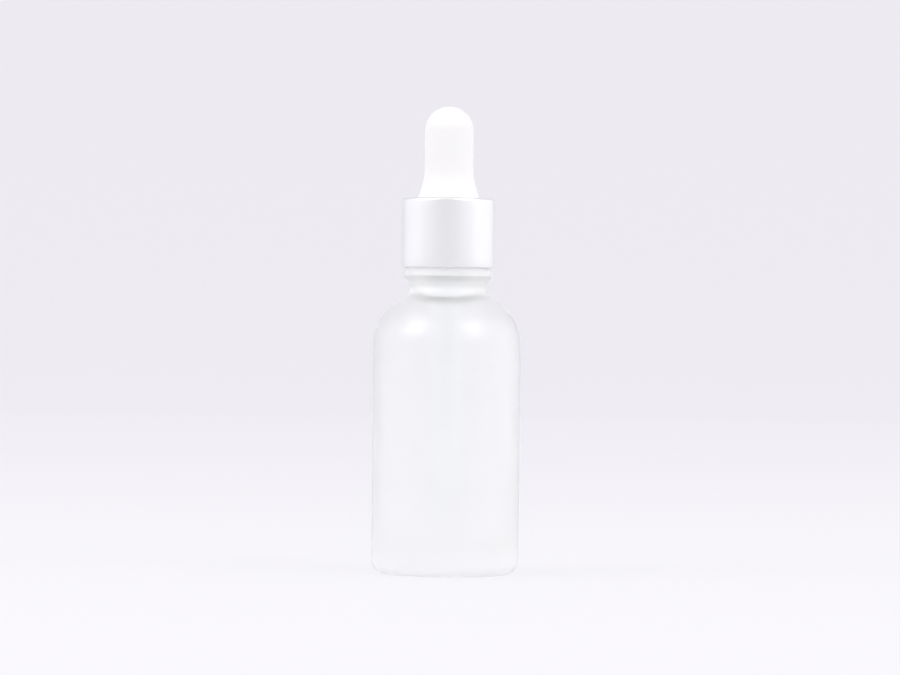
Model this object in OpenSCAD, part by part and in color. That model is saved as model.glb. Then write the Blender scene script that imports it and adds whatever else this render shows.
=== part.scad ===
// Dropper bottle for liquid medicine: a frosted glass bottle with a screw cap that carries
// a rubber bulb and a glass pipette. Millimetres, +Z up, origin at the centre of the base.

/* [Bottle] */
// Outer diameter of the bottle's body
body_d = 33; // [31:0.5:36]
// Height of the bottle without its cap
bottle_h = 79.2; // [77:0.1:82]
// Thickness of the glass in the body
wall_t = 2.3; // [1.8:0.1:3]
// Thickness of the glass in the base
base_t = 4.6; // [3.5:0.1:5.5]
// Radius of the round heel at the foot of the body
heel_r = 3.2; // [2.6:0.1:4.4]
// Radius of the round shoulder
shoulder_r = 13; // [12:0.1:13.5]
// Diameter of the waist between the shoulder and the neck bead
waist_d = 17; // [16.5:0.1:17.6]
// Diameter of the hole through the neck
neck_bore_d = 11.2; // [10.4:0.1:11.6]

/* [Screw thread] */
// Rise of the thread in one turn
pitch = 3; // [2.8:0.1:3.2]
// Diameter of the neck between the thread's turns
thread_root_d = 15.7; // [15.5:0.1:15.9]
// Diameter over the thread on the neck
thread_crest_d = 17.7; // [17.4:0.1:17.7]
// Turns of thread on the neck
neck_turns = 1.5; // [1.25:0.25:1.5]
// Turns of thread in the cap
cap_turns = 1.25; // [1:0.25:1.25]

/* [Cap] */
// Outer diameter of the metal collar
collar_d = 21; // [21:0.1:22]
// Height of the metal collar
collar_h = 15.5; // [15:0.1:15.5]
// Thickness of the collar's sheet metal
collar_t = 0.4; // [0.3:0.05:0.4]
// Thickness of the inner cap's top
cap_top_t = 1.2; // [1:0.1:1.4]
// Thickness of the sealing gasket
gasket_t = 1; // [0.8:0.1:1.2]

/* [Bulb] */
// Outer diameter of the bulb's straight part
bulb_d = 10.9; // [10.4:0.1:11.2]
// Height of the bulb above the collar
bulb_h = 20.6; // [19:0.1:23]
// Diameter of the bulb's foot, where it sits on the collar
bulb_foot_d = 13.7; // [13:0.1:14]
// Thickness of the rubber
bulb_t = 1.2; // [1:0.1:1.5]

/* [Pipette] */
// Outer diameter of the glass tube
pipette_d = 7; // [6.6:0.1:7]
// Thickness of the tube's wall
pipette_t = 1; // [0.8:0.1:1.2]
// Height of the pipette's tip above the surface that the bottle stands on
tip_z = 11; // [10.5:0.5:14]
// Diameter of the tip's end
tip_d = 3; // [2.6:0.1:3.4]
// Diameter of the hole in the tip
orifice_d = 1.2; // [1:0.1:1.4]

/* [Hidden] */
$fn = 96;

body_r = body_d / 2;
waist_r = waist_d / 2;
bore_r = neck_bore_d / 2;
root_r = thread_root_d / 2;
crest_r = thread_crest_d / 2;

// The base is pushed up in the middle, so the bottle stands on a flat ring.
push_up_h = 0.9;
foot_ring_w = 1.5;

// The round shoulder starts at this height, and a hollow waist joins it to the bead.
shoulder_z = 50.7;
waist_round_r = 2.2;
throat_round_r = 3;
hollow_heel_r = 5;

// The bead is the glass ring between the thread and the waist.
bead_r = 10;
bead_z = 66.7;
bead_top_z = 69.2;
lip_round_r = 0.6;

// The cap's stack, from the bottle's lip upwards.
flange_z = bottle_h + gasket_t;
cap_top_z = flange_z + 2.2;
collar_top_z = cap_top_z + cap_top_t + collar_t;
collar_foot_z = collar_top_z - collar_h;
skirt_foot_z = bead_top_z + 0.3;
collar_inner_r = collar_d / 2 - collar_t;

// Thread: the ridge in the cap presses up against the underside of the ridge on the neck.
neck_thread_z = 71.8;
thread_gap_z = 1.25;
cap_thread_z = neck_thread_z - thread_gap_z;
cap_bore_r = crest_r + 0.15;
cap_thread_r = root_r + 0.2;
thread_fade = 30;
thread_step = 7.5;

// The bulb's foot fills the hole in the cap's top, and its flange is held under that top.
fit_gap = 0.03;
foot_r = bulb_foot_d / 2;
cap_hole_r = foot_r + 0.08;
bulb_r = bulb_d / 2;
bulb_top_z = collar_top_z + bulb_h;
bulb_flange_r = 8.5;
gasket_r = 7.8;
bulb_cone_h = 5.6;
pipette_r = pipette_d / 2;
pipette_top_z = collar_top_z + 2;
rim_h = 1.2;
taper_h = 13;

// Points along a round stretch of an outline, from angle a0 to angle a1.
function arc(x, z, r, a0, a1, steps = 12) =
    [for (i = [0 : steps]) let (a = a0 + (a1 - a0) * i / steps) [x + r * cos(a), z + r * sin(a)]];

// One section of a thread's ridge, across the ridge at angle a.
function ridge_section(a, z, base_r, top_r, base_w, top_w) =
    [for (p = [[base_r, -base_w / 2], [top_r, -top_w / 2], [top_r, top_w / 2], [base_r, base_w / 2]])
        [p[0] * cos(a), p[0] * sin(a), z + p[1]]];

// A helical ridge that grows out of a wall of radius wall_r up to radius top_r, and fades at both ends.
module thread_ridge(wall_r, top_r, z, turns, base_w, top_w) {
    count = round(turns * 360 / thread_step);
    inward = top_r < wall_r;
    sunk_r = wall_r + (inward ? 0.4 : -0.4);
    hidden_r = wall_r + (inward ? 0.1 : -0.1);
    points = [for (i = [0 : count])
        let (a = i * thread_step,
             share = min(1, a / thread_fade, (count * thread_step - a) / thread_fade))
        each ridge_section(a, z + pitch * a / 360, sunk_r, hidden_r + (top_r - hidden_r) * share,
                           base_w, top_w)];
    sides = [for (i = [0 : count - 1], j = [0 : 3])
        let (a = 4 * i + j, b = 4 * i + (j + 1) % 4)
        each [[a, b, b + 4], [a, b + 4, a + 4]]];
    last = 4 * count;
    ends = [[0, 3, 2], [0, 2, 1], [last, last + 1, last + 2], [last, last + 2, last + 3]];
    faces = concat(sides, ends);
    polyhedron(points, inward ? [for (f = faces) [f[2], f[1], f[0]]] : faces);
}

// Outline of the glass: base, heel, body, shoulder, waist and bead on the outside, and the hollow inside.
function bottle_outline() =
    let (ring_outer = body_r - heel_r,
         ring_inner = ring_outer - foot_ring_w,
         dish_r = (ring_inner * ring_inner + push_up_h * push_up_h) / (2 * push_up_h),
         dish_a = asin(ring_inner / dish_r),
         shoulder_x = body_r - shoulder_r,
         waist_x = waist_r + waist_round_r,
         waist_reach = shoulder_r + waist_round_r,
         waist_rise = sqrt(waist_reach * waist_reach - pow(waist_x - shoulder_x, 2)),
         waist_a = atan2(waist_rise, waist_x - shoulder_x),
         hollow_r = body_r - wall_t,
         hollow_shoulder_r = shoulder_r - wall_t,
         throat_x = bore_r + throat_round_r,
         throat_reach = hollow_shoulder_r + throat_round_r,
         throat_rise = sqrt(throat_reach * throat_reach - pow(throat_x - shoulder_x, 2)),
         throat_a = atan2(throat_rise, throat_x - shoulder_x))
    concat(
        arc(0, push_up_h - dish_r, dish_r, 90, 90 - dish_a, 6),
        arc(ring_outer, heel_r, heel_r, -90, 0),
        arc(shoulder_x, shoulder_z, shoulder_r, 0, waist_a, 16),
        arc(waist_x, shoulder_z + waist_rise, waist_round_r, 180 + waist_a, 130, 12),
        arc(bead_r - 0.3, bead_z, 0.3, -55, 0, 4),
        [[bead_r - 0.45, bead_top_z - 0.8]],
        arc(bead_r - 1.25, bead_top_z - 0.8, 0.8, 0, 90, 5),
        [[root_r, bead_top_z]],
        arc(root_r - lip_round_r, bottle_h - lip_round_r, lip_round_r, 0, 90, 6),
        arc(bore_r + lip_round_r, bottle_h - lip_round_r, lip_round_r, 90, 180, 6),
        arc(throat_x, shoulder_z + throat_rise, throat_round_r, 180, 180 + throat_a, 8),
        arc(shoulder_x, shoulder_z, hollow_shoulder_r, throat_a, 0, 14),
        arc(hollow_r - hollow_heel_r, base_t + hollow_heel_r, hollow_heel_r, 0, -90, 12),
        [[0, base_t + 0.3]]);

module bottle() {
    color("whitesmoke", 0.6) union() {
        rotate_extrude() polygon(bottle_outline());
        thread_ridge(root_r, crest_r, neck_thread_z, neck_turns, 2.15, 0.7);
    }
}

// Soft ring on the pipette that seals on the bottle's lip.
module gasket() {
    color("ivory") translate([0, 0, bottle_h]) difference() {
        cylinder(h = gasket_t, r = gasket_r);
        translate([0, 0, -1]) cylinder(h = gasket_t + 2, r = pipette_r + 0.1);
    }
}

// Outline of the glass tube: a drawn tip, a straight tube and a rim that the bulb grips.
function pipette_outline() =
    let (hole_r = pipette_r - pipette_t,
         rim_z = pipette_top_z - rim_h - 0.3)
    concat(
        [[orifice_d / 2, tip_z]],
        arc(tip_d / 2 - 0.3, tip_z + 0.3, 0.3, -90, 0, 4),
        [[tip_d / 2, tip_z + 2]],
        [[pipette_r, tip_z + taper_h]],
        [[pipette_r, rim_z]],
        arc(pipette_r, rim_z + rim_h / 2, rim_h / 2, -90, 90, 8),
        arc(pipette_r - 0.3, pipette_top_z - 0.3, 0.3, 0, 90, 4),
        arc(hole_r + 0.3, pipette_top_z - 0.3, 0.3, 90, 180, 4),
        [[hole_r, tip_z + taper_h + 1]],
        [[orifice_d / 2, tip_z + 3]]);

module pipette() {
    color("lightcyan", 0.6) rotate_extrude() polygon(pipette_outline());
}

// Outline of the rubber: flange, foot in the cap's hole, cone, straight part and round top.
function bulb_outline() =
    let (grip_r = pipette_r + 0.02,
         flange_top_z = cap_top_z - fit_gap,
         cone_z = collar_top_z + bulb_cone_h,
         hollow_r = bulb_r - bulb_t,
         dome_z = bulb_top_z - bulb_r,
         groove_z = pipette_top_z - rim_h / 2 - 0.3,
         hollow_z = pipette_top_z + 1)
    concat(
        [[grip_r, flange_z]],
        arc(bulb_flange_r - 0.4, flange_z + 0.4, 0.4, -90, 0, 4),
        arc(bulb_flange_r - 0.4, flange_top_z - 0.4, 0.4, 0, 90, 4),
        [[foot_r, flange_top_z]],
        [[foot_r, collar_top_z - 0.1]],
        arc(bulb_r + 4, cone_z, 4, 194, 180, 5),
        arc(0, dome_z, bulb_r, 0, 90, 18),
        arc(0, dome_z, hollow_r, 90, 0, 14),
        [[hollow_r, hollow_z + 1]],
        [[grip_r, hollow_z]],
        [[grip_r, groove_z + rim_h / 2 + 0.1]],
        arc(grip_r, groove_z, rim_h / 2 + 0.03, 90, -90, 8));

module bulb() {
    color("white") rotate_extrude() polygon(bulb_outline());
}

// Threaded plastic cap that sits inside the metal collar.
module inner_cap() {
    skirt_r = collar_inner_r - fit_gap;
    rib_count = 36;
    color("snow") union() {
        rotate_extrude() polygon([
            [cap_bore_r + 0.3, skirt_foot_z], [skirt_r - 0.2, skirt_foot_z],
            [skirt_r - 0.2, cap_top_z + cap_top_t - 0.6], [skirt_r - 0.8, cap_top_z + cap_top_t],
            [cap_hole_r, cap_top_z + cap_top_t], [cap_hole_r, cap_top_z],
            [cap_bore_r, cap_top_z], [cap_bore_r, skirt_foot_z + 0.3]]);
        thread_ridge(cap_bore_r, cap_thread_r, cap_thread_z, cap_turns, 1.7, 0.6);
        for (i = [0 : rib_count - 1])
            rotate(i * 360 / rib_count)
                translate([skirt_r - 0.5, -0.25, skirt_foot_z + 0.5])
                    cube([0.48, 0.5, cap_top_z - skirt_foot_z - 1]);
    }
}

// Drawn sheet-metal collar, pressed over the inner cap.
module collar() {
    edge_r = 0.7;
    outer_r = collar_d / 2;
    top_z = collar_top_z;
    color("silver") rotate_extrude() polygon(concat(
        [[collar_inner_r, collar_foot_z], [outer_r, collar_foot_z]],
        arc(outer_r - edge_r, top_z - edge_r, edge_r, 0, 90, 8),
        [[cap_hole_r, top_z], [cap_hole_r, top_z - collar_t]],
        arc(outer_r - edge_r, top_z - edge_r, edge_r - collar_t, 90, 0, 5)));
}

bottle();
gasket();
pipette();
bulb();
inner_cap();
collar();
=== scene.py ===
"""Dropper bottle: the finish, the light and the camera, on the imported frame. Metres, +Z up."""

import math

import bpy
from mathutils import Matrix, Vector, noise


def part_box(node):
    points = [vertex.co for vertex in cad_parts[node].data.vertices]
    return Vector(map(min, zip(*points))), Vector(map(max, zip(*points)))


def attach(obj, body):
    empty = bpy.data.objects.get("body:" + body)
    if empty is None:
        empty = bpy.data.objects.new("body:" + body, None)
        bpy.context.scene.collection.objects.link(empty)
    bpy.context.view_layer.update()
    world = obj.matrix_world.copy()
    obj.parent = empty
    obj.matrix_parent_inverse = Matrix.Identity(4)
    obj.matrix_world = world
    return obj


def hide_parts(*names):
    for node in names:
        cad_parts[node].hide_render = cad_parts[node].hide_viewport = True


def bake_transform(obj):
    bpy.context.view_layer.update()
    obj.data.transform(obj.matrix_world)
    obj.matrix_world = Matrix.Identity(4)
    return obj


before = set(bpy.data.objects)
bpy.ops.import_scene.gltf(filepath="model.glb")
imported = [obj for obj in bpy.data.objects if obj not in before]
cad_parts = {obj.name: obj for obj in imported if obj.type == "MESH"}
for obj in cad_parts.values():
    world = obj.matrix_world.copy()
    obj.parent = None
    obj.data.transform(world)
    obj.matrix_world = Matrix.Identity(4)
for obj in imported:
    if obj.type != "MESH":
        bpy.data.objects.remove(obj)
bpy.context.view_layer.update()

MM = 0.001
PITCH = 3 * MM


# ---------------------------------------------------------------- sizes, from the frame

def top(node):
    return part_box(node)[1].z


def foot(node):
    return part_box(node)[0].z


def radius(node):
    lo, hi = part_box(node)
    return (hi.x - lo.x) / 2


BODY_R = radius("bottle")
LIP_Z = top("bottle")
COLLAR_R = radius("collar")
COLLAR_TOP = top("collar")
COLLAR_FOOT = foot("collar")
BULB_TOP = top("bulb")
FLANGE_Z = foot("bulb")
FLANGE_R = radius("bulb")
TIP_Z = foot("pipette")
PIPETTE_TOP = top("pipette")


# ---------------------------------------------------------------- mesh helpers

TINY = 1e-7


def arc(r, z, rad, a0, a1, step):
    """Points of a round stretch of an outline about (r, z), angles in degrees, one every `step` degrees."""
    count = max(2, int(math.ceil(abs(a1 - a0) / step)))
    out = []
    for i in range(count + 1):
        a = math.radians(a0 + (a1 - a0) * i / count)
        out.append((r + rad * math.cos(a), z + rad * math.sin(a)))
    return out


def resample(points, step):
    """The same outline with no gap longer than `step`."""
    out = [points[0]]
    for p in points[1:]:
        q = out[-1]
        gap = math.hypot(p[0] - q[0], p[1] - q[1])
        if gap < TINY:
            continue
        parts = max(1, int(math.ceil(gap / step)))
        for k in range(1, parts + 1):
            t = k / parts
            out.append((q[0] + (p[0] - q[0]) * t, q[1] + (p[1] - q[1]) * t))
    return out


def lathe(name, outline, segments, sharp, closed=True, shape=None):
    """Turns an outline of (radius, height) about Z. Gives the object and each face's outline index.

    shape(r, z, angle, index) may move a point's radius and height. Edges above `sharp` degrees stay sharp.
    """
    verts, rings = [], []
    for index, (r, z) in enumerate(outline):
        if r < TINY:
            rings.append([len(verts)])
            verts.append((0.0, 0.0, z))
            continue
        ring = []
        for s in range(segments):
            a = 2 * math.pi * s / segments
            rr, zz = shape(r, z, a, index) if shape else (r, z)
            ring.append(len(verts))
            verts.append((rr * math.cos(a), rr * math.sin(a), zz))
        rings.append(ring)
    faces, owner = [], []
    pairs = list(zip(range(len(rings) - 1), range(1, len(rings))))
    if closed and len(rings[0]) > 1:
        pairs.append((len(rings) - 1, 0))
    for i, j in pairs:
        a, b = rings[i], rings[j]
        if len(a) == 1 and len(b) == 1:
            continue
        for s in range(segments):
            t = (s + 1) % segments
            if len(a) == 1:
                faces.append((a[0], b[t], b[s]))
            elif len(b) == 1:
                faces.append((a[s], a[t], b[0]))
            else:
                faces.append((a[s], a[t], b[t], b[s]))
            owner.append(i)
    mesh = bpy.data.meshes.new(name)
    mesh.from_pydata(verts, [], faces)
    mesh.update()
    obj = bpy.data.objects.new(name, mesh)
    bpy.context.scene.collection.objects.link(obj)
    mesh.shade_smooth()
    mesh.set_sharp_from_angle(angle=math.radians(sharp))
    return obj, owner


# ---------------------------------------------------------------- materials

GLASS_IOR = 1.5
# how much light the frosted skin lets through, and the heights between which that changes
BODY_CLEAR = 0.88
NECK_CLEAR = 0.5
BASE_CLEAR = 0.6
CLEAR_FROM, CLEAR_TO = 10 * MM, 58 * MM
NECK_MILKY = 66 * MM
BASE_MILKY = 1 * MM


class Nodes:
    """Short calls for building one material's nodes."""

    def __init__(self, name):
        self.material = bpy.data.materials.new(name)
        self.material.use_nodes = True
        self.tree = self.material.node_tree
        self.bsdf = self.tree.nodes["Principled BSDF"]
        self.place = self.add("ShaderNodeTexCoord").outputs["Object"]

    def add(self, kind, **values):
        node = self.tree.nodes.new(kind)
        for key, value in values.items():
            setattr(node, key, value)
        return node

    def link(self, a, b):
        self.tree.links.new(a, b)

    def axis(self, name):
        """One of the object's own coordinates, in metres."""
        node = self.add("ShaderNodeSeparateXYZ")
        self.link(self.place, node.inputs[0])
        return node.outputs[name]

    def mapped(self, scale):
        node = self.add("ShaderNodeMapping")
        self.link(self.place, node.inputs["Vector"])
        node.inputs["Scale"].default_value = scale
        return node.outputs["Vector"]

    def noise(self, scale, detail=2.0, rough=0.5, stretch=(1, 1, 1)):
        """Noise with `scale` features a metre."""
        node = self.add("ShaderNodeTexNoise")
        self.link(self.mapped(stretch), node.inputs["Vector"])
        node.inputs["Scale"].default_value = scale
        node.inputs["Detail"].default_value = detail
        node.inputs["Roughness"].default_value = rough
        return node.outputs["Fac"]

    def span(self, value, low, high, from_low=0.3, from_high=0.7):
        """Spreads a value over low to high. Noise lies mostly between 0.3 and 0.7."""
        node = self.add("ShaderNodeMapRange")
        self.link(value, node.inputs["Value"])
        node.inputs["From Min"].default_value = from_low
        node.inputs["From Max"].default_value = from_high
        node.inputs["To Min"].default_value = low
        node.inputs["To Max"].default_value = high
        return node.outputs["Result"]

    def mix(self, factor, a, b):
        node = self.add("ShaderNodeMix", data_type="RGBA")
        self.link(factor, node.inputs["Factor"])
        node.inputs["A"].default_value = (*a, 1)
        node.inputs["B"].default_value = (*b, 1)
        return node.outputs["Result"]

    def lower_of(self, a, b):
        node = self.add("ShaderNodeMath", operation="MINIMUM")
        self.link(a, node.inputs[0])
        self.link(b, node.inputs[1])
        return node.outputs[0]

    def bump(self, height, distance, strength=1.0, after=None):
        node = self.add("ShaderNodeBump")
        self.link(height, node.inputs["Height"])
        node.inputs["Distance"].default_value = distance
        node.inputs["Strength"].default_value = strength
        if after is not None:
            self.link(after, node.inputs["Normal"])
        return node.outputs["Normal"]

    def set(self, **values):
        for key, value in values.items():
            socket = self.bsdf.inputs[key.replace("_", " ")]
            if isinstance(value, bpy.types.NodeSocket):
                self.link(value, socket)
            else:
                socket.default_value = value


def frosted_glass():
    """Acid-etched glass: light goes through, but every ray is scattered, and the skin is finely grained.

    The skin lets less light through round the neck and the base than on the body.
    """
    n = Nodes("frosted_glass")
    fine, cloud = n.noise(9000, 3), n.noise(160, 3, 0.6)
    n.set(Base_Color=n.mix(cloud, (0.975, 0.98, 0.976), (0.985, 0.99, 0.986)),
          Roughness=n.span(cloud, 0.33, 0.38),
          Normal=n.bump(fine, 0.012 * MM, 0.6, n.bump(cloud, 0.03 * MM, 0.4)))
    n.bsdf.inputs["Coat Weight"].default_value = 0.5
    n.bsdf.inputs["Coat Roughness"].default_value = 0.4
    at_neck = n.span(n.axis("Z"), BODY_CLEAR, NECK_CLEAR, CLEAR_TO, NECK_MILKY)
    at_base = n.span(n.axis("Z"), BASE_CLEAR, BODY_CLEAR, BASE_MILKY, CLEAR_FROM)
    n.set(Transmission_Weight=n.lower_of(at_neck, at_base))
    n.bsdf.inputs["IOR"].default_value = GLASS_IOR
    return n.material


def blown_glass():
    """The bottle's inside: smooth but not polished, with the slow waves that blowing leaves."""
    n = Nodes("blown_glass")
    wave = n.noise(120, 1, 0.4)
    n.set(Base_Color=n.mix(wave, (0.994, 1.0, 0.998), (1.0, 1.0, 1.0)),
          Roughness=n.span(wave, 0.10, 0.14), Normal=n.bump(wave, 0.03 * MM, 0.3))
    n.bsdf.inputs["Transmission Weight"].default_value = 1.0
    n.bsdf.inputs["IOR"].default_value = GLASS_IOR
    return n.material


def clear_glass():
    """Drawn tube: smooth, with faint lines along its length."""
    n = Nodes("clear_glass")
    draw = n.noise(900, 2, 0.5, (1, 1, 0.02))
    n.set(Base_Color=n.mix(draw, (0.97, 0.99, 0.985), (0.99, 1.0, 0.995)),
          Roughness=n.span(draw, 0.01, 0.03), Normal=n.bump(draw, 0.01 * MM, 0.4))
    n.bsdf.inputs["Transmission Weight"].default_value = 1.0
    n.bsdf.inputs["IOR"].default_value = GLASS_IOR
    return n.material


def satin_metal():
    """Anodised aluminium: a fine blasted grain, with the lines of the lathe just under it."""
    n = Nodes("satin_metal")
    grain, lines, cloud = n.noise(14000, 2), n.noise(2600, 2, 0.6, (0.02, 0.02, 1)), n.noise(90, 2)
    n.set(Base_Color=n.mix(cloud, (0.845, 0.85, 0.855), (0.875, 0.88, 0.885)),
          Metallic=1.0, Roughness=n.span(grain, 0.34, 0.42),
          Normal=n.bump(grain, 0.006 * MM, 0.5, n.bump(lines, 0.004 * MM, 0.5)))
    return n.material


def silky_rubber():
    """White silicone: soft, silky and very finely textured, with a little light passing into it."""
    n = Nodes("silky_rubber")
    skin, dust, cloud = n.noise(7000, 3), n.noise(1500, 2), n.noise(110, 2)
    n.set(Base_Color=n.mix(cloud, (0.825, 0.818, 0.81), (0.85, 0.844, 0.836)),
          Roughness=n.span(dust, 0.46, 0.58),
          Normal=n.bump(skin, 0.012 * MM, 0.5, n.bump(dust, 0.01 * MM, 0.4)))
    n.bsdf.inputs["Subsurface Weight"].default_value = 0.25
    n.bsdf.inputs["Subsurface Radius"].default_value = (1.0, 0.8, 0.7)
    n.bsdf.inputs["Subsurface Scale"].default_value = 0.8 * MM
    return n.material


def moulded_plastic():
    """White polypropylene as it leaves the mould."""
    n = Nodes("moulded_plastic")
    fine, cloud = n.noise(5000, 2), n.noise(140, 2)
    n.set(Base_Color=n.mix(cloud, (0.86, 0.86, 0.85), (0.90, 0.90, 0.89)),
          Roughness=n.span(fine, 0.38, 0.48), Normal=n.bump(fine, 0.01 * MM, 0.4))
    return n.material


def foam():
    """Closed-cell foam of the gasket."""
    n = Nodes("gasket_foam")
    cells, cloud = n.noise(6000, 2), n.noise(300, 2)
    n.set(Base_Color=n.mix(cloud, (0.84, 0.83, 0.80), (0.90, 0.89, 0.87)),
          Roughness=n.span(cells, 0.65, 0.8), Normal=n.bump(cells, 0.05 * MM, 0.8))
    return n.material


# ---------------------------------------------------------------- the pieces

WALL_T = 2.3 * MM
BASE_T = 4.6 * MM
HEEL_R = 3.2 * MM
SHOULDER_R = 13.0 * MM
SHOULDER_Z = 50.7 * MM
WAIST_R = 8.5 * MM
WAIST_ROUND = 2.2 * MM
THROAT_ROUND = 3.0 * MM
BORE_R = 5.6 * MM
BEAD_R = 10.0 * MM
BEAD_Z = 66.7 * MM
BEAD_TOP = 69.2 * MM
ROOT_R = 7.85 * MM
CREST_R = 8.85 * MM
LIP_ROUND = 0.6 * MM
PUSH_UP = 0.9 * MM
FOOT_RING = 1.5 * MM
NECK_THREAD_Z = 71.8 * MM
NECK_TURNS = 1.5
THREAD_WIDTH = 1.74 * MM
THREAD_CREST = 0.7 * MM
THREAD_FADE = 30.0
INNER_HEEL_R = 5.0 * MM
INNER_WAVE = 0.05 * MM
WAVE_AROUND, WAVE_UP = 1.3, 60
RIM_ROUND = 0.6 * MM
RIM_Z = PIPETTE_TOP - 0.9 * MM
# points of the inside outline, counted from the lip, that stay frosted and that stay a true circle
FROSTED_LIP_POINTS = 6
ROUND_MOUTH_POINTS = 12


def thread_height(z, angle):
    """How far the neck's thread stands out at a height and an angle, 0 away from it."""
    end = NECK_TURNS * 360
    best = 0.0
    for lap in range(int(math.ceil(NECK_TURNS)) + 1):
        along = math.degrees(angle) + 360 * lap
        if along > end:
            break
        share = min(1.0, along / THREAD_FADE, (end - along) / THREAD_FADE)
        off = abs(z - (NECK_THREAD_Z + PITCH * along / 360))
        side = 1 - (off - THREAD_CREST / 2) / ((THREAD_WIDTH - THREAD_CREST) / 2)
        best = max(best, min(1.0, max(0.0, side)) * share)
    return best * (CREST_R - ROOT_R)


def bottle_outside():
    """The outline from the middle of the base to the lip, and the part of it that carries the thread."""
    foot_edge, bead_edge, bead_round, root_round = 0.25 * MM, 0.3 * MM, 0.8 * MM, 0.3 * MM
    bead_inset, neck_start, neck_step, neck_end = 1.25 * MM, 0.45 * MM, 0.12 * MM, 0.1 * MM
    ring_out = BODY_R - HEEL_R
    ring_in = ring_out - FOOT_RING
    dish = (ring_in ** 2 + PUSH_UP ** 2) / (2 * PUSH_UP)
    dish_a = math.degrees(math.asin(ring_in / dish))
    sx = BODY_R - SHOULDER_R
    wx = WAIST_R + WAIST_ROUND
    rise = math.sqrt((SHOULDER_R + WAIST_ROUND) ** 2 - (wx - sx) ** 2)
    join = math.degrees(math.atan2(rise, wx - sx))
    outer = [(0.0, PUSH_UP)]
    outer += arc(0, PUSH_UP - dish, dish, 90, 90 - dish_a, 0.8)[1:]
    outer += arc(ring_in + foot_edge, foot_edge, foot_edge, -110, -90, 5)
    outer += arc(ring_out, HEEL_R, HEEL_R, -90, 0, 3)
    outer += arc(sx, SHOULDER_Z, SHOULDER_R, 0, join, 2)
    outer += arc(wx, SHOULDER_Z + rise, WAIST_ROUND, 180 + join, 130, 4)[1:]
    outer += arc(BEAD_R - bead_edge, BEAD_Z, bead_edge, -55, 0, 8)
    outer += arc(BEAD_R - bead_inset, BEAD_TOP - bead_round, bead_round, 0, 90, 8)
    outer += arc(ROOT_R + root_round, BEAD_TOP + root_round, root_round, 270, 180, 15)
    neck_from = len(outer)
    z = BEAD_TOP + neck_start
    while z < LIP_Z - LIP_ROUND - neck_end:
        outer.append((ROOT_R, z))
        z += neck_step
    neck_to = len(outer)
    outer += arc(ROOT_R - LIP_ROUND, LIP_Z - LIP_ROUND, LIP_ROUND, 0, 90, 9)
    return outer, neck_from, neck_to


def bottle_inside():
    """The outline from the lip down to the middle of the hollow's floor."""
    dome = 0.3 * MM
    sx = BODY_R - SHOULDER_R
    shoulder_r = SHOULDER_R - WALL_T
    tx = BORE_R + THROAT_ROUND
    rise = math.sqrt((shoulder_r + THROAT_ROUND) ** 2 - (tx - sx) ** 2)
    join = math.degrees(math.atan2(rise, tx - sx))
    hollow_r = BODY_R - WALL_T
    inner = arc(BORE_R + LIP_ROUND, LIP_Z - LIP_ROUND, LIP_ROUND, 90, 180, 9)
    inner += arc(tx, SHOULDER_Z + rise, THROAT_ROUND, 180, 180 + join, 4)
    inner += arc(sx, SHOULDER_Z, shoulder_r, join, 0, 2)
    inner += arc(hollow_r - INNER_HEEL_R, BASE_T + INNER_HEEL_R, INNER_HEEL_R, 0, -90, 3)
    inner += [(0.0, BASE_T + dome)]
    return inner


def make_bottle():
    """One turned piece: frosted outside, with the thread raised on the neck, and smooth inside."""
    outer, neck_from, neck_to = bottle_outside()
    inner = bottle_inside()
    split = len(outer)
    outline = outer + inner

    def shape(r, z, a, index):
        if neck_from <= index < neck_to:
            return r + thread_height(z, a), z
        if index >= split + ROUND_MOUTH_POINTS:
            place = Vector((math.cos(a) * WAVE_AROUND, math.sin(a) * WAVE_AROUND, z * WAVE_UP))
            return r + INNER_WAVE * noise.noise(place), z
        return r, z

    obj, owner = lathe("bottle_glass", outline, 240, closed=False, shape=shape, sharp=40)
    obj.data.materials.append(frosted_glass())
    obj.data.materials.append(blown_glass())
    index = [1 if i >= split + FROSTED_LIP_POINTS else 0 for i in owner]
    obj.data.polygons.foreach_set("material_index", index)
    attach(obj, "bottle")
    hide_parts("bottle")


def make_bulb():
    """The bulb sits on the dropper at its foot: one turned rubber piece with a flange, a rounded cone and a
    dome, hollow inside.
    """
    foot_r, bulb_r, grip_r = 6.85 * MM, 5.45 * MM, 3.52 * MM
    thick, edge = 1.2 * MM, 0.4 * MM
    flange_top = 82.37 * MM
    foot_top = COLLAR_TOP - 0.1 * MM
    cone_angle, cone_round = 14, 12 * MM
    cone_z = COLLAR_TOP + 6.6 * MM
    dome_z = BULB_TOP - bulb_r
    mouth_z, grip_top, grip_foot = PIPETTE_TOP + 2 * MM, PIPETTE_TOP + 1 * MM, PIPETTE_TOP - 0.2 * MM
    groove_r = 0.63 * MM
    outline = [(grip_r, FLANGE_Z)]
    outline += arc(FLANGE_R - edge, FLANGE_Z + edge, edge, -90, 0, 15)
    outline += arc(FLANGE_R - edge, flange_top - edge, edge, 0, 90, 15)
    outline += [(foot_r, flange_top), (foot_r, foot_top)]
    outline += arc(bulb_r + cone_round, cone_z, cone_round, 180 + cone_angle, 180, 1)
    outline += arc(0, dome_z, bulb_r, 0, 90, 3)[:-1] + [(0.0, BULB_TOP)]
    outline += [(0.0, dome_z + bulb_r - thick)] + arc(0, dome_z, bulb_r - thick, 90, 0, 5)[1:]
    outline += [(bulb_r - thick, mouth_z), (grip_r, grip_top), (grip_r, grip_foot)]
    outline += arc(grip_r, RIM_Z, groove_r, 90, -90, 15)
    outline = resample(outline, 0.35 * MM)
    obj, _ = lathe("bulb_rubber", outline, 160, sharp=50)
    obj.data.materials.append(silky_rubber())
    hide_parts("bulb")
    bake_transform(obj)


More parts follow.
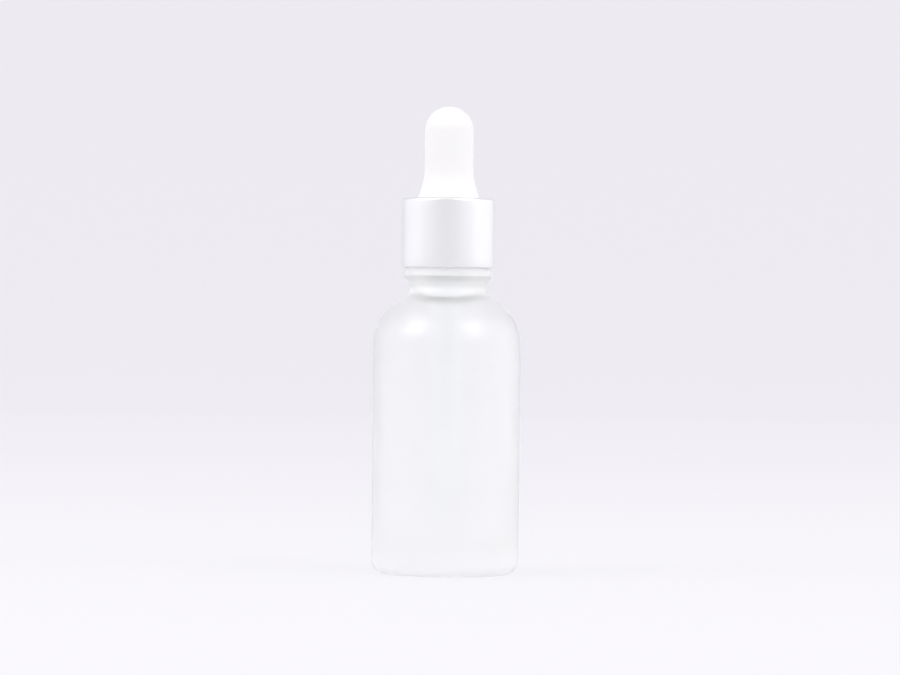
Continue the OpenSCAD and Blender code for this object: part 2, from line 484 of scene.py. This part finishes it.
def make_collar():
    t, edge, burr = 0.4 * MM, 0.7 * MM, 0.12 * MM
    hole = 6.93 * MM
    outline = [(COLLAR_R - t, COLLAR_FOOT + burr)]
    outline += arc(COLLAR_R - t / 2, COLLAR_FOOT + t / 2, t / 2, 180, 360, 15)
    outline += arc(COLLAR_R - edge, COLLAR_TOP - edge, edge, 0, 90, 6)
    outline += arc(hole + burr, COLLAR_TOP - burr, burr, 90, 180, 15)
    outline += [(hole, COLLAR_TOP - t)]
    outline += arc(COLLAR_R - edge, COLLAR_TOP - edge, edge - t, 90, 0, 15)
    obj, _ = lathe("collar_shell", resample(outline, 2 * MM), 240, sharp=40)
    obj.data.materials.append(satin_metal())
    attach(obj, "cap")
    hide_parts("collar")


def make_pipette():
    r, t, edge = 3.5 * MM, 1.0 * MM, 0.3 * MM
    tip_r, tip_length, hole, hole_z = 1.5 * MM, 2 * MM, 0.6 * MM, TIP_Z + 0.1 * MM
    taper, taper_steps, straight, curved = 13 * MM, 24, 0.85, 0.15
    bore_foot, hole_top = TIP_Z + taper + 1 * MM, TIP_Z + 3 * MM
    outline = [(hole, hole_z)] + arc(tip_r - edge, TIP_Z + edge, edge, -90, 0, 15)
    outline += [(tip_r, TIP_Z + tip_length)]
    for i in range(1, taper_steps + 1):
        s = i / taper_steps
        outline.append((tip_r + (r - tip_r) * (straight * s + curved * s * s * (3 - 2 * s)),
                        TIP_Z + tip_length + (taper - tip_length) * s))
    outline += [(r, RIM_Z - RIM_ROUND)] + arc(r, RIM_Z, RIM_ROUND, -90, 90, 12)
    outline += arc(r - edge, PIPETTE_TOP - edge, edge, 0, 90, 15)
    outline += arc(r - t + edge, PIPETTE_TOP - edge, edge, 90, 180, 15)
    outline += [(r - t, bore_foot), (hole, hole_top)]
    obj, _ = lathe("pipette_tube", resample(outline, 1.5 * MM), 128, sharp=50)
    obj.data.materials.append(clear_glass())
    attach(obj, "dropper")
    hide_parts("pipette")


def make_gasket():
    low, high = foot("gasket"), top("gasket")
    out_r, in_r, edge = radius("gasket"), 3.6 * MM, 0.15 * MM
    outline = arc(in_r + edge, low + edge, edge, 180, 270, 22)
    outline += arc(out_r - edge, low + edge, edge, -90, 0, 22)
    outline += arc(out_r - edge, high - edge, edge, 0, 90, 22)
    outline += arc(in_r + edge, high - edge, edge, 90, 180, 22)
    obj, _ = lathe("gasket_ring", resample(outline, 1 * MM), 96, sharp=60)
    obj.data.materials.append(foam())
    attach(obj, "seal")
    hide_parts("gasket")


def finish_inner_cap():
    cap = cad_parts["inner_cap"]
    cap.data.materials.clear()
    cap.data.materials.append(moulded_plastic())


make_bottle()
make_bulb()
make_collar()
make_pipette()
make_gasket()
finish_inner_cap()


# ---------------------------------------------------------------- floor, light and camera

# the paper's emission strength: painted light that makes the floor and wall glow and washes out the
# bottle's contact shadow
PAPER_PAINTED_GLOW = 0.62
PAPER_BACK_Y, PAPER_FRONT_Y = 0.8, -0.5
SWEEP_FLAT, SWEEP_RISE, SWEEP_WALL = 1.7, 0.8, 2.4
AIM = Vector((0, 0, 0.05))
# azimuth and elevation in degrees, distance, width and height in metres, radiance
SOFTBOXES = {
    "left_softbox": (-62, 37, 1.1, 0.65, 0.6, 2.7),
    "right_softbox": (54, 37, 1.1, 0.65, 0.6, 2.7),
    "left_fill": (-100, 8, 1.1, 1.3, 0.9, 0.28),
    "right_fill": (100, 8, 1.1, 1.6, 0.9, 0.38),
}
ROOM_COLOUR, ROOM_STRENGTH = (1.0, 0.99, 1.0, 1), 0.98
GLASS_BOUNCES, PLAIN_BOUNCES = 32, 12
FRAME_W = 0.2016
CAMERA_DISTANCE = 0.9
CAMERA_SIDE, CAMERA_HEIGHT = 0.64 * MM, 52.9 * MM
CAMERA_ROLL = 0.62
CAMERA_REACH = 10


def sweep_paper():
    """Matt pale paper that glows with painted light in its emission, a touch brighter towards the camera as
    a painted pool of light.
    """
    n = Nodes("sweep_paper")
    # painted light: the glow and tint grow from the back line towards the front line, nearer the camera
    painted_glow_towards_camera = n.span(n.axis("Y"), 0, 1, PAPER_BACK_Y, PAPER_FRONT_Y)
    n.set(Base_Color=n.mix(painted_glow_towards_camera, (0.24, 0.2375, 0.245), (0.24, 0.238, 0.244)), Roughness=0.9,
          Emission_Color=n.mix(painted_glow_towards_camera, (0.99, 0.974, 1.025), (1.0, 0.988, 1.025)))
    n.bsdf.inputs["Emission Strength"].default_value = PAPER_PAINTED_GLOW
    n.bsdf.inputs["Specular IOR Level"].default_value = 0.2
    return n.material


def make_sweep():
    """A pale round dish: flat where the bottle stands, rising softly to a wall all round."""
    flat, rise, rings = SWEEP_FLAT, SWEEP_RISE, 12
    outline = [(0.0, 0.0)] + [(flat * i / rings, 0.0) for i in range(1, rings + 1)]
    outline += arc(flat, rise, rise, -90, 0, 3)[1:] + [(flat + rise, rise + SWEEP_WALL)]
    obj, _ = lathe("sweep", outline, 128, closed=False, sharp=180)
    obj.data.flip_normals()
    obj.data.materials.append(sweep_paper())


def softbox(name, azimuth, elevation, distance, width, height, radiance):
    """A large soft light that faces the bottle. Azimuth 0 is behind the camera, positive to its right."""
    a, e = math.radians(azimuth), math.radians(elevation)
    towards = Vector((math.sin(a) * math.cos(e), -math.cos(a) * math.cos(e), math.sin(e)))
    data = bpy.data.lights.new(name, "AREA")
    data.shape = "RECTANGLE"
    data.size, data.size_y = width, height
    data.energy = radiance * math.pi * width * height
    obj = bpy.data.objects.new(name, data)
    obj.location = AIM + towards * distance
    obj.rotation_mode = "QUATERNION"
    obj.rotation_quaternion = towards.to_track_quat("Z", "Y")
    obj.visible_camera = False
    bpy.context.scene.collection.objects.link(obj)


make_sweep()
for name, values in SOFTBOXES.items():
    softbox(name, *values)

scene = bpy.context.scene
world = bpy.data.worlds.new("studio")
world.use_nodes = True
background = world.node_tree.nodes["Background"]
background.inputs["Color"].default_value = ROOM_COLOUR
background.inputs["Strength"].default_value = ROOM_STRENGTH
scene.world = world
scene.view_settings.view_transform = "Standard"

# light has to find its way through both walls of the bottle
scene.cycles.max_bounces = GLASS_BOUNCES
scene.cycles.transmission_bounces = GLASS_BOUNCES
scene.cycles.diffuse_bounces = PLAIN_BOUNCES
scene.cycles.glossy_bounces = PLAIN_BOUNCES
scene.cycles.caustics_refractive = True
scene.cycles.caustics_reflective = True
scene.cycles.blur_glossy = 0.0

# FRAME_W is the width of the picture at the bottle's axis, in metres
camera_data = bpy.data.cameras.new("camera")
camera_data.lens = camera_data.sensor_width * CAMERA_DISTANCE / FRAME_W
camera_data.clip_end = CAMERA_REACH
camera = bpy.data.objects.new("camera", camera_data)
camera.matrix_world = (Matrix.Translation((CAMERA_SIDE, -CAMERA_DISTANCE, CAMERA_HEIGHT))
                       @ Matrix.Rotation(math.radians(90), 4, "X")
                       @ Matrix.Rotation(math.radians(CAMERA_ROLL), 4, "Z"))
scene.collection.objects.link(camera)
bpy.context.scene.camera = camera
